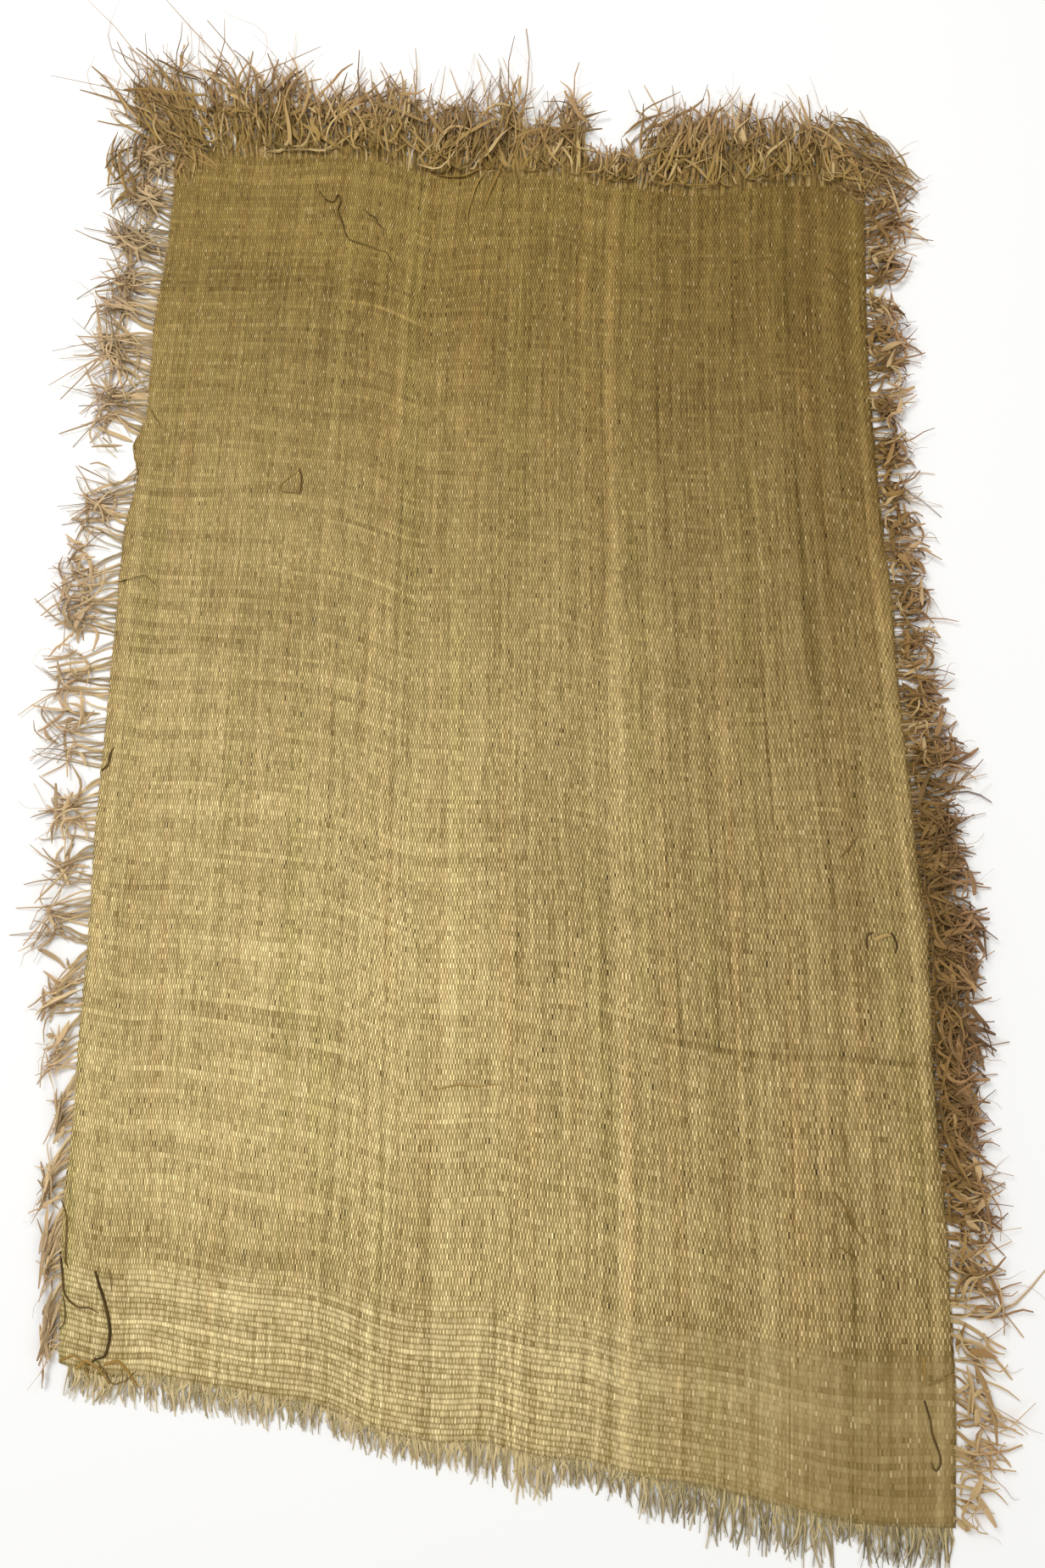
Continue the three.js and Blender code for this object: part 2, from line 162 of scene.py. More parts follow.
TOP_TUFTS = [
    (-250, 3, 49, -50, 97, -78, 1), (-241, 10, 65, -38, 143, -66, 14),
    (-229, 8, 78, -30, 143, -40, 8), (-216, 10, 62, -12, 108, -24, 6),
    (-203, 9, 74, -11, 146, -24, 7), (-190, 10, 70, -6, 112, -8, 8),
    (-171, 22, 57, -3, 106, -8, 12), (-144, 28, 49, 0, 97, 0, 18), (-114, 28, 43, 0, 84, -1, 16),
    (-83, 26, 55, 0, 108, 2, 14), (-50, 30, 51, 3, 99, 6, 16), (-22, 18, 43, 3, 92, 3, 10),
    (0, 12, 59, 3, 124, 6, 4), (23, 24, 36, 5, 78, 11, 10), (47, 10, 60, -1, 92, 8, 4),
    (75, 30, 22, 1, 38, 3, 22), (112, 30, 50, 9, 100, 24, 22), (150, 34, 57, 5, 100, 10, 18),
    (180, 16, 46, 1, 89, 1, 8), (200, 18, 43, 1, 89, 1, 8), (220, 16, 44, 1, 86, 2, 8),
    (236, 10, 46, 1, 92, 1, 6), (249, 10, 29, 4, 62, 16, 6), (259, 3, 30, 17, 52, 48, 2),
]
BOTTOM_TUFTS = [
    (-241, 32, 7, 0, 15, -2, 30), (-201, 40, 8, 0, 16, 1, 38), (-157, 40, 7, 0, 14, 1, 40),
    (-114, 38, 7, 0, 13, 1, 38), (-71, 38, 7, 0, 13, 0, 38), (-35, 26, 8, 0, 14, 0, 26),
    (-12, 13, 10, 0, 19, 0, 12), (12, 24, 11, 0, 21, 0, 22), (49, 44, 8, 0, 14, 0, 44),
    (93, 36, 10, 0, 20, -1, 34), (131, 34, 14, 0, 26, -1, 34), (165, 28, 12, 0, 24, -1, 28),
    (190, 17, 6, 0, 11, -1, 16), (216, 28, 11, 0, 21, -2, 28), (242, 17, 11, 0, 22, -2, 17),
]

# Sides of the cloth, and how full each fringe is.
# edge, tufts: outline of the panel on this side, and the tufts of its fringe
# upright: whether the side runs along the cloth
# outward: which way is out of the cloth, 1 or -1
# spacing: millimetres of edge to each rooted strand
# inside: how far back over the weave the strands begin
# gather: how far the strands draw together at the knots, 0 to 1
# knots: least and most distance out of a strand's bend, in shares of the knot's distance
# tips: least and most length beyond the bend, in shares of the rest of the reach
# ragged: how few strands have long tips
# splay: spread of the tips' directions in degrees
# widths: thinnest and widest strand
# broad: least and most width of the flat strips
# heap: height of the tangled fibres
# spikes, curls, strips: straight, curved and broad flat fibres to each COUNTED_WIDTH of fringe
# hairs: fine single fibres in each tuft
# turn: spread of the crossing fibres' directions in degrees
# across: least and most distance out of the crossing fibres, in shares of the knot's distance
# wave: sway of the rooted strands, as a share of their reach
# bow: bend of the curled fibres, as a share of their length
# root, tip: colours of the strands at the weave and further out
# dark: shade of the darkest strands
# fullness: share of the fibres that stand at some stations along the side
# tones: change of tone at some stations along the side

SIDES = {
    "left": {
        "edge": LEFT_EDGE, "tufts": LEFT_TUFTS, "upright": True, "outward": -1,
        "spacing": 2.0, "inside": 2.0, "gather": 0.45, "knots": (0.6, 1.15), "tips": (0.3, 1.15),
        "ragged": 1.5, "splay": 52, "widths": (1.1, 2.4), "broad": (2.0, 3.6), "heap": 6,
        "spikes": 4, "curls": 9, "strips": 3.5, "hairs": 1, "turn": 75, "across": (0.6, 1.2),
        "wave": 0.045, "bow": 0.9, "root": "#D0B486", "tip": "#C2A480", "dark": 0.6,
        "fullness": [(-362, 0.8), (-60, 0.65), (200, 0.75), (280, 1.5), (435, 2.4)],
        "tones": [(-362, 0.05), (200, -0.05), (320, -0.3), (435, -0.35)],
    },
    "right": {
        "edge": RIGHT_EDGE, "tufts": RIGHT_TUFTS, "upright": True, "outward": 1,
        "spacing": 1.5, "inside": 1.5, "gather": 0.1, "knots": (0.45, 1.3), "tips": (0.2, 1.1),
        "ragged": 2.0, "splay": 46, "widths": (1.1, 2.5), "broad": (2.2, 4.6), "heap": 7,
        "spikes": 9, "curls": 28, "strips": 9, "hairs": 1, "turn": 62, "across": (0.2, 1.15),
        "wave": 0.055, "bow": 0.95, "root": "#957442", "tip": "#A57F5C", "dark": 0.42,
        "fullness": [(-462, 0.32), (-380, 0.38), (-330, 0.6), (-280, 1.5), (-240, 2.6), (-60, 1.7),
                     (0, 0.9), (150, 0.75), (401, 0.7)],
        "tones": [(-462, 0.75), (-380, 0.6), (-300, 0.15), (-250, -0.15), (-60, -0.15), (20, 0.1),
                  (401, 0.1)],
    },
    "top": {
        "edge": TOP_EDGE, "tufts": TOP_TUFTS, "upright": False, "outward": 1,
        "spacing": 0.62, "inside": 5.0, "gather": 0.0, "knots": (0.4, 1.1), "tips": (0.15, 1.1),
        "ragged": 2.6, "splay": 29, "widths": (1.0, 2.2), "broad": (1.8, 3.6), "heap": 8,
        "spikes": 18, "curls": 22, "strips": 9, "hairs": 1, "turn": 34, "across": (0.1, 1.1),
        "wave": 0.045, "bow": 0.5, "root": "#A6874A", "tip": "#B38F66", "dark": 0.42,
        "fullness": [(-250, 1.4), (-180, 1.1), (30, 1.0), (75, 1.4), (110, 1.9), (150, 1.2),
                     (259, 1.0)],
        "tones": [(-250, 0.05), (259, 0.05)],
    },
    "bottom": {
        "edge": BOTTOM_EDGE, "tufts": BOTTOM_TUFTS, "upright": False, "outward": -1,
        "spacing": 0.62, "inside": 2.5, "gather": 0.0, "knots": (0.5, 1.2), "tips": (0.3, 1.25),
        "ragged": 1.0, "splay": 11, "widths": (0.9, 1.6), "broad": (1.5, 2.5), "heap": 2,
        "spikes": 3, "curls": 0, "strips": 0, "hairs": 0, "turn": 25, "across": (0.3, 1.1),
        "wave": 0.02, "bow": 0.5, "root": "#CFBB88", "tip": "#C6B388", "dark": 0.55,
        "fullness": [(-250, 1.0), (250, 1.0)],
        "tones": [(-250, 0.1), (0, 0.1), (100, -0.3), (250, -0.45)],
    },
}

# Values that all fringes share. FIBRE_STEPS run from end to end of a crossing fibre in shares of
# its length, and a bow is its sideways bend at those steps.

COUNTED_WIDTH = 26
TUFT_MARGIN = 7
STRAY_SHARE = 0.35
USUAL_REACH = 55
TONE_RANGE = (-0.4, 1)
FIBRE_STEPS = np.array([-0.5, -0.17, 0.17, 0.5])
FIBRE_BOW = np.array([0, 0.2, 0.16, -0.1])
HEAP_BOW = np.array([-0.6, 0.3, 0.3, -0.6])
HEAP_LENGTHS = (16, 46)
HAIR_WIDTH = 0.4

# Matted heaps at the upper corners. Columns: x, y, half length, half width, turn in degrees,
# number of fibres

NESTS = [
    (262, 442, 40, 26, -48, 200),
    (-262, 478, 46, 18, 118, 120),
    (-284, 440, 34, 20, 70, 60),
]

# Loose thread ends on the face. Columns: width, tone, then x and y of each point in turn

LOOSE_ENDS = [
    (1.3, 0.05, -144, 417, -139, 409, -133, 407, -130, 413, -127, 408, -129, 400, -126, 390, -121,
     375, -110, 370, -98, 365, -92, 363, -86, 351),
    (0.9, 0.1, -110, 401, -106, 396, -101, 393, -100, 388, -95, 384, -95, 377),
    (0.8, 0.15, -35, 399, -35, 392, -32, 387, -32, 380),
    (0.8, 0.55, -147, 186, -160, 174, -159, 169, -147, 167),
    (1.1, 0.1, -148, 186, -146, 180, -146, 172, -147, 166),
    (1.0, 0.15, -268, 102, -258, 105, -250, 107, -246, 103, -240, 98),
    (0.8, 0.3, -263, 190, -261, 185, -263, 180, -263, 175),
    (0.8, 0.3, -256, 234, -253, 229, -250, 224, -247, 219),
    (1.3, 0.1, -268, -31, -264, -27, -263, -20, -261, -15),
    (1.2, 0.1, 225, -147, 225, -141, 227, -138, 230, -137),
    (2.8, 0.9, 230, -142, 234, -140, 238, -139, 241, -139),
    (2.2, 0.08, 241, -137, 243, -140, 244, -145, 243, -150),
    (1.0, 0.9, 130, -26, 132, -31, 134, -36, 135, -40),
    (1.0, 0.85, 141, -63, 142, -72, 142, -80, 141, -88),
    (0.9, 0.3, 224, -75, 220, -80, 216, -85, 212, -89),
    (1.3, 0.4, 195, -292, 201, -301, 206, -312, 213, -322),
    (1.0, 0.4, 197, -324, 200, -326, 203, -328, 206, -331),
    (1.0, 0.4, 252, -329, 255, -333, 258, -337, 261, -341),
    (1.1, 0.3, 230, 351, 235, 346, 241, 338, 247, 333),
    (0.8, 0.8, -45, -233, -32, -230, -19, -231, -6, -230),
    (1.3, 0.72, 241, -384, 241, -389, 241, -395, 241, -400),
    (1.5, 0.72, 243, -399, 249, -397, 255, -394, 261, -391),
    (1.1, 0.1, 240, -407, 242, -416, 243, -424, 246, -434, 246, -440, 243, -443, 241, -439),
    (1.8, 0.05, -245, -337, -242, -345, -240, -349, -235, -362, -233, -372, -235, -383, -241, -385,
     -245, -388),
    (1.1, 0.12, -267, -326, -264, -340, -262, -349, -258, -354, -253, -357, -247, -357, -241, -360),
    (0.9, 0.2, -269, -297, -265, -307, -264, -320, -263, -331, -261, -335),
    (1.0, 0.15, -263, -351, -261, -358, -261, -365, -264, -369),
    (0.7, 0.3, -237, -336, -236, -340, -235, -344, -234, -348),
    (2.6, 0.7, -9, 446, -20, 438, -36, 429, -48, 428, -60, 431),
    (2.2, 0.65, -9, 446, -18, 436, -26, 424, -30, 411, -33, 396, -32, 381),
    (2.2, 0.6, -6, 446, -10, 434, -16, 418, -21, 399),
    (0.9, 0.4, 2, 446, 4, 425, 5, 405, 4, 388),
    (0.9, 0.4, 21, 446, 25, 430, 28, 415, 30, 401),
    (1.4, 0.3, -242, -384, -236, -390, -230, -398, -222, -396, -217, -391),
    (2.0, 0.75, -252, -390, -246, -386, -238, -390, -232, -398),
    (1.8, 0.7, -262, -386, -254, -383, -247, -387, -243, -396),
    (1.7, 0.65, -236, -388, -228, -386, -222, -391, -214, -400),
]


# Curves and places

def smooth_value(table, stations):
    """Value of a two-column table at each station, on a smooth curve through its rows."""
    known, values = np.array(table, float).T
    slopes = np.gradient(values, known)
    stations = np.clip(stations, known[0], known[-1])
    cell = np.clip(np.searchsorted(known, stations, side="right") - 1, 0, len(known) - 2)
    width = known[cell + 1] - known[cell]
    share = (stations - known[cell]) / width
    start = values[cell] * (2 * share**3 - 3 * share**2 + 1)
    end = values[cell + 1] * (3 * share**2 - 2 * share**3)
    leave = slopes[cell] * width * (share**3 - 2 * share**2 + share)
    arrive = slopes[cell + 1] * width * (share**3 - share**2)
    return start + end + leave + arrive


def beside(side, station, out):
    """Points at a distance out from a side's edge, in the cloth's own frame."""
    place = smooth_value(side["edge"], station) + side["outward"] * out
    across, along = (place, station) if side["upright"] else (station, place)
    return across - CLOTH_MIDDLE[0], along - CLOTH_MIDDLE[1]


def side_line(side, count):
    """Evenly spaced points along one side of the panel."""
    stations = np.linspace(side["edge"][0][0], side["edge"][-1][0], count + 1)
    return np.stack(beside(side, stations, 0), axis=1)


def swell_height(x, y):
    """Height of the cloth's underside above the ground."""
    height = np.zeros_like(x)
    for centre_x, centre_y, half_length, half_width, turn, rise in SWELLS:
        angle = math.radians(turn)
        away_x = x + CLOTH_MIDDLE[0] - centre_x
        away_y = y + CLOTH_MIDDLE[1] - centre_y
        along = (away_x * math.cos(angle) + away_y * math.sin(angle)) / half_length
        across = (away_y * math.cos(angle) - away_x * math.sin(angle)) / half_width
        height += rise * np.maximum(0, 1 - along**2 - across**2) ** 2
    return height


def ripple(x, y):
    """Slight unevenness of a hand-woven sheet, from a few crossing waves."""
    total = sum(np.sin(x / across + phase) * np.sin(y / along + 2 * phase)
                for across, along, phase in RIPPLES)
    return RIPPLE_HEIGHT * total / len(RIPPLES)


# Meshes

def in_scene(name, data):
    """A new object of the scene from its mesh, lamp or camera."""
    holder = bpy.data.objects.new(name, data)
    bpy.context.scene.collection.objects.link(holder)
    return holder


def make_piece(name, points, faces, material, vectors):
    """A piece of the object from its points and faces, with named vectors on its points."""
    mesh = bpy.data.meshes.new(name)
    mesh.from_pydata((points * MM).tolist(), [], faces)
    for title, values in vectors.items():
        attribute = mesh.attributes.new(title, "FLOAT_VECTOR", "POINT")
        attribute.data.foreach_set("vector", values.astype(np.float32).ravel())
    mesh.materials.append(material)
    piece = in_scene(name, mesh)
    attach(piece, "root")
    return piece


def panel_points():
    """Flat points of the panel, blended from its four sides so that threads follow the edges."""
    u = np.linspace(0, 1, PANEL_COLUMNS + 1)[None, :, None]
    v = np.linspace(0, 1, PANEL_ROWS + 1)[:, None, None]
    left, right = (side_line(SIDES[name], PANEL_ROWS)[:, None] for name in ("left", "right"))
    bottom, top = (side_line(SIDES[name], PANEL_COLUMNS)[None] for name in ("bottom", "top"))
    lower = (1 - u) * left[:1] + u * right[:1]
    upper = (1 - u) * left[-1:] + u * right[-1:]
    flat = (1 - u) * left + u * right + (1 - v) * bottom + v * top - (1 - v) * lower - v * upper
    for column in (0, -1):
        flat[:, column, 0] += random.uniform(-EDGE_JITTER, EDGE_JITTER, PANEL_ROWS + 1)
    return flat, u, v


def share_across(x, upward):
    """Share of the way from the left warp to the right one, both smooth past an edge's snags."""
    left = np.polyval(np.polyfit(upward, x[:, 0], 3), upward)[:, None]
    right = np.polyval(np.polyfit(upward, x[:, -1], 3), upward)[:, None]
    return (x - left) / (right - left)


def woven_panel(material):
    """The weave as a closed sheet. Each point knows its warp, its weft and its share across."""
    flat, u, v = panel_points()
    x, y = flat[..., 0], flat[..., 1]
    under = swell_height(x, y)
    over = under + SHEET_THICKNESS + ripple(x, y)
    low, high = (np.stack([x, y, z], axis=2).reshape(-1, 3) for z in (under, over))
    wide = PANEL_COLUMNS + 1
    numbers = np.arange(wide * (PANEL_ROWS + 1)).reshape(PANEL_ROWS + 1, wide)
    a, b = numbers[:-1, :-1].ravel(), numbers[:-1, 1:].ravel()
    c, d = numbers[1:, 1:].ravel(), numbers[1:, :-1].ravel()
    layer = numbers.size
    faces = np.stack([a, d, c, b], axis=1).tolist()
    faces += (np.stack([a, b, c, d], axis=1) + layer).tolist()
    rim = np.concatenate([numbers[0, :-1], numbers[:-1, -1], numbers[-1, :0:-1], numbers[:0:-1, 0]])
    following = np.roll(rim, -1)
    faces += np.stack([rim, following, following + layer, rim + layer], axis=1).tolist()
    across = share_across(x, v[:, 0, 0])
    warp = WARPS * across * (1 + WARP_CROWDING - WARP_CROWDING * across) + SPARE_WARPS
    thread = np.stack(np.broadcast_arrays(warp, v[..., 0] * WEFTS, across), axis=2)
    thread = np.tile(thread.reshape(-1, 3), (2, 1))
    piece = make_piece("raffia_weave", np.concatenate([low, high]), faces, material,
                       {"thread": thread})
    piece.data.shade_smooth()
    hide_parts("woven_panel")
    return piece


def strand_paths(controls, steps, stiffness):
    """Paths through each strand's control points, smooth or with sharp folds where it is stiff."""
    cells = controls.shape[1] - 1
    before = 2 * controls[:, :1] - controls[:, 1:2]
    after = 2 * controls[:, -1:] - controls[:, -2:-1]
    padded = np.concatenate([before, controls, after], axis=1)
    share = np.linspace(0, cells, steps)
    cell = np.minimum(share.astype(int), cells - 1)
    f = (share - cell)[None, :, None]
    p0, p1, p2, p3 = (padded[:, cell + offset] for offset in range(4))
    bend = 2 * p0 - 5 * p1 + 4 * p2 - p3
    twist = 3 * p1 - p0 - 3 * p2 + p3
    smooth = 0.5 * (2 * p1 + (p2 - p0) * f + bend * f**2 + twist * f**3)
    return smooth + (p1 + (p2 - p1) * f - smooth) * stiffness


class Strands:
    """Gathers fibres as closed three-sided ribbons, and joins them into one piece."""

    def __init__(self):
        self.points = []
        self.faces = []
        self.strand = []
        self.fibre = []
        self.total = 0

    def add(self, controls, widths, tones, outs, steps=9, wave=0.0, thickness=0.22, curl=1.0,
            blunt=1.0):
        """Ribbons along smooth paths; outs holds how far out each start and end lies, 0 to 1."""
        count = len(controls)
        stiffness = random.uniform(0, 1, (count, 1, 1)) ** 2
        paths = strand_paths(np.asarray(controls, float), steps, stiffness)
        share = np.linspace(0, 1, steps)[None, :]
        ahead = np.gradient(paths, axis=1)
        ahead /= np.linalg.norm(ahead, axis=2, keepdims=True) + 1e-9
        level = np.stack([-ahead[..., 1], ahead[..., 0], np.zeros((count, steps))], axis=2)
        level /= np.linalg.norm(level, axis=2, keepdims=True) + 1e-9
        upward = np.cross(ahead, level)
        phase = random.uniform(0, 6.28, (count, 1))
        turns = random.uniform(0.6, 1.6, (count, 1))
        sway = wave * np.sin(6.28 * turns * share + phase) * share
        paths = paths + level * sway[..., None]
        twist = random.normal(0, 0.5, (count, 1)) + curl * random.normal(0, 1.0, (count, 1)) * share
        cosine, sine = np.cos(twist)[..., None], np.sin(twist)[..., None]
        sideways = cosine * level + sine * upward
        crest = cosine * upward - sine * level
        taper = np.minimum(1, 1.85 - 1.4 * share) * np.minimum(1, blunt + 3 * share)
        half = (np.asarray(widths)[:, None] * taper / 2)[..., None]
        ridge = np.asarray(widths)[:, None, None] * thickness
        corners = np.stack([paths + sideways * half, paths - sideways * half,
                            paths + crest * ridge], axis=2)
        corners[..., 2] = np.maximum(corners[..., 2], 0.05)
        self.points.append(corners.reshape(-1, 3))
        self._faces(count, steps)
        length = np.linalg.norm(np.diff(paths, axis=1), axis=2).sum(axis=1)
        self._vectors(count, steps, share, np.asarray(tones), np.asarray(outs), length, half[..., 0])

    def _faces(self, count, steps):
        first = self.total + np.arange(count)[:, None, None] * steps * 3
        ring = first + np.arange(steps - 1)[None, :, None] * 3
        a = (ring + np.arange(3)[None, None, :]).ravel()
        b = (ring + np.array([1, 2, 0])[None, None, :]).ravel()
        self.faces += np.stack([a, a + 3, b + 3, b], axis=1).tolist()
        start = first.ravel()
        end = start + (steps - 1) * 3
        self.faces += np.stack([start, start + 1, start + 2], axis=1).tolist()
        self.faces += np.stack([end, end + 2, end + 1], axis=1).tolist()
        self.total += count * steps * 3

    def _vectors(self, count, steps, share, tones, outs, length, half):
        shape = (count, steps, 3)
        tone = np.broadcast_to(tones[:, None, None], shape)
        out = np.broadcast_to((outs[:, :1] + (outs[:, 1:] - outs[:, :1]) * share)[..., None], shape)
        seed = np.broadcast_to(random.uniform(0, 100, (count, 1, 1)), shape)
        along = np.broadcast_to((length[:, None] * share)[..., None], shape)
        across = np.stack([half, -half, 0 * half], axis=2)
        self.strand.append(np.stack([tone, out, seed], axis=3).reshape(-1, 3))
        self.fibre.append(np.stack([along, across, seed], axis=3).reshape(-1, 3))

    def piece(self, name, material):
        vectors = {"strand": np.concatenate(self.strand), "fibre": np.concatenate(self.fibre)}
        return make_piece(name, np.concatenate(self.points), self.faces, material,
                          vectors)


def side_controls(side, stations, outs, heights):
    """Control points from stations and distances out, each an array of strand by point."""
    x, y = beside(side, stations, outs)
    return np.stack([x, y, heights], axis=2)


def along_side(side, title, station):
    """Value of one of a side's small tables at a station."""
    known, values = zip(*side[title])
    return np.interp(station, known, values)


def root_stations(side):
    """Stations of the roots along a side, and the row of the tuft that each belongs to."""
    tufts = np.array(side["tufts"], float)
    starts, stops = tufts[:, 0] - tufts[:, 1] / 2, tufts[:, 0] + tufts[:, 1] / 2
    stations = np.arange(starts[0], stops[-1], side["spacing"])
    stations += random.normal(0, 0.25 * side["spacing"], len(stations))
    away = np.maximum(starts - stations[:, None], stations[:, None] - stops)
    owner = away.argmin(axis=1)
    away = np.maximum(away.min(axis=1), 0)
    kept = (away < TUFT_MARGIN) | (random.uniform(0, 1, len(stations)) < STRAY_SHARE)
    kept &= random.uniform(0, 1, len(stations)) < along_side(side, "fullness", stations)
    return stations[kept], tufts[owner[kept]].T, away[kept]


def rooted_strands(strands, side):
    """Fibre ends that leave the weave, draw together towards their knots and splay beyond them."""
    root, (at, span, knot, shift, reach, lean, fan), away = root_stations(side)
    count = len(root)
    share = np.clip((root - at) / span, -0.9, 0.9)
    bend = root + shift - (root - at) * side["gather"] + random.normal(0, 0.05 * span + 1, count)
    bend_out = knot * random.uniform(*side["knots"], count)
    least, most = side["tips"]
    tip_length = least + (most - least) * random.uniform(0, 1, count) ** side["ragged"]
    tip_length *= (reach - 0.9 * knot) * (1 - 0.3 * np.clip(away / 8, 0, 1))
    spread = (fan - span * (1 - side["gather"])) * share
    turn = np.arctan2(lean - shift + spread, reach - knot)
    turn += np.radians(random.normal(0, side["splay"], count))
    tip = bend + tip_length * np.sin(turn)
    tip_out = np.maximum(1, bend_out + tip_length * np.cos(turn))
    shoulder = root + (bend - root) * 0.3
    stations = np.stack([root, shoulder, bend, tip], axis=1)
    inside = random.uniform(0.3, 1, count) * side["inside"]
    outs = np.stack([-inside, 0.35 * bend_out, bend_out, tip_out], axis=1)
    heap = side["heap"]
    heights = np.stack([
        random.uniform(1.1, 1.5, count),
        random.uniform(0.6, 0.25 * heap + 1, count),
        random.uniform(0.4, heap, count),
        random.uniform(0.2, 0.7 * heap, count),
    ], axis=1)
    low, high = side["widths"]
    widths = low + (high - low) * random.uniform(0, 1, count) ** 2
    ends = np.stack([np.zeros(count), tip_out / (1.2 * reach)], axis=1)
    tones = np.clip(random.uniform(0, 1, count) + along_side(side, "tones", root), *TONE_RANGE)
    strands.add(side_controls(side, stations, outs, heights), widths, tones, ends,
                wave=side["wave"] * reach[:, None])


def crossing_fibres(strands, side, tuft, kind, widths, lengths, bend, thickness=0.22, tone=0.0):
    """Fibres that lie across a tuft in all directions and tangle it."""
    at, span, knot, shift, reach, lean, fan = tuft
    fullness = along_side(side, "fullness", at)
    count = round(side[kind] * fullness * span / COUNTED_WIDTH * random.uniform(0.8, 1.2))
    if count == 0:
        return
    place = random.uniform(*side["across"], count)
    spread = 0.36 * max(span * (1 - side["gather"]), fan)
    middle = at + shift * place + random.normal(0, spread, count)
    out = np.maximum(2, knot * place * random.uniform(0.8, 1.25, count))
    turn = np.radians(random.normal(0, side["turn"], count))
    length = random.uniform(*lengths, count) * np.clip(reach / USUAL_REACH, 0.25, 1.3)
    steps = FIBRE_STEPS * length[:, None]
    bow = bend * random.normal(0, 1, (count, 1)) * length[:, None] * FIBRE_BOW
    drift = lean / max(reach, 1)
    stations = middle[:, None] + steps * (np.sin(turn) + drift)[:, None] + bow * np.cos(turn)[:, None]
    outs = out[:, None] + steps * np.cos(turn)[:, None] - bow * np.sin(turn)[:, None]
    outs = np.clip(outs, 1.5, reach * 1.05)
    heights = random.uniform(0.5, side["heap"], (count, 1)) + random.normal(0, 0.7, (count, 4))
    heights = np.clip(heights, 0.25, side["heap"] + 1)
    ends = np.stack([outs[:, 0], outs[:, -1]], axis=1) / (1.2 * reach)
    tones = tone + (1 - tone) * random.uniform(0, 1, count) + along_side(side, "tones", at)
    strands.add(side_controls(side, stations, outs, heights), random.uniform(*widths, count),
                np.clip(tones, *TONE_RANGE), ends, wave=0.01 * reach, thickness=thickness,
                curl=1.2, blunt=0.3)


def fine_hairs(strands, side, tuft):
    """Thin single fibres that stand out past the tuft."""
    at, span, knot, shift, reach, lean, fan = tuft
    count = side["hairs"]
    start = at + shift + random.normal(0, 0.2 * span, count)
    tip = at + lean + random.normal(0, 0.5 * fan + 4, count)
    bow = random.normal(0, 0.16 * reach, count)
    nearer = start * 0.66 + tip * 0.34 + bow
    farther = start * 0.34 + tip * 0.66 + bow
    stations = np.stack([start, nearer, farther, tip], axis=1)
    shares = np.array([0, 0.33, 0.67, 1])
    outs = 0.8 * knot + (reach * random.uniform(0.9, 1.04, (count, 1)) - 0.8 * knot) * shares
    heights = random.uniform(0.3, side["heap"], (count, 4))
    ends = np.tile([[0.4, 0.9]], (count, 1))
    strands.add(side_controls(side, stations, outs, heights), np.full(count, HAIR_WIDTH),
                random.uniform(0.4, 1, count), ends, wave=3.0)


def matted_fibres(strands, nest):
    """A heap of curved fibres that lie roughly one way."""
    x, y, half_length, half_width, turn, count = nest
    angle = math.radians(turn)
    ring = random.uniform(0, 2 * math.pi, count)
    away = np.sqrt(random.uniform(0, 1, count))
    along = half_length * away * np.cos(ring)
    across = half_width * away * np.sin(ring)
    heading = angle + random.normal(0, 0.45, count)
    length = random.uniform(*HEAP_LENGTHS, count)
    steps = FIBRE_STEPS * length[:, None]
    bow = (0.25 * across / half_width)[:, None] * length[:, None] * HEAP_BOW
    middle_x = x - CLOTH_MIDDLE[0] + along * math.cos(angle) - across * math.sin(angle)
    middle_y = y - CLOTH_MIDDLE[1] + along * math.sin(angle) + across * math.cos(angle)
    path_x = middle_x[:, None] + steps * np.cos(heading)[:, None] - bow * np.sin(heading)[:, None]
    path_y = middle_y[:, None] + steps * np.sin(heading)[:, None] + bow * np.cos(heading)[:, None]
    lift = 6 * (1 - away)[:, None] * random.uniform(0.5, 1, (count, 1))
    heights = 2 + lift + random.normal(0, 0.5, (count, 4))
    controls = np.stack([path_x, path_y, heights], axis=2)
    ends = np.tile([[0.2, 0.5]], (count, 1))
    widths = 0.9 + 1.6 * random.uniform(0, 1, count) ** 2
    strands.add(controls, widths, random.uniform(0, 0.9, count), ends, wave=1.5, blunt=0.3)


def fringe(name, material):
    """All the fibres beyond one side of the cloth."""
    side = SIDES[name]
    strands = Strands()
    rooted_strands(strands, side)
    for tuft in side["tufts"]:
        crossing_fibres(strands, side, tuft, "spikes", side["widths"], lengths=(10, 34), bend=0.3)
        crossing_fibres(strands, side, tuft, "curls", side["widths"], lengths=(14, 40),
                        bend=side["bow"], tone=0.1)
        crossing_fibres(strands, side, tuft, "strips", side["broad"], lengths=(14, 38), bend=0.28,
                        thickness=0.07, tone=0.2)
        fine_hairs(strands, side, tuft)
    if name == "top":
        for nest in NESTS:
            matted_fibres(strands, nest)
    piece = strands.piece("raffia_fringe_" + name, material)
    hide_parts("fringe_" + name)
    return piece


def loose_ends(material):
    """Cut and broken thread ends lying on the face of the panel."""
    strands = Strands()
    for width, tone, *points in LOOSE_ENDS:
        flat = np.array(points, float).reshape(-1, 2) - CLOTH_MIDDLE
        lift = random.uniform(0.6, 1.1, len(flat))
        lift[[0, -1]] = (0.1, 0.2)
        heights = swell_height(flat[:, 0], flat[:, 1]) + SHEET_THICKNESS + lift
        controls = np.concatenate([flat, heights[:, None]], axis=1)[None]
        strands.add(controls, [width], [tone], [[0.1, 0.3]], steps=6 * len(flat), wave=0.3,
                    curl=0.5)
    return strands.piece("raffia_loose_ends", material)


# Materials

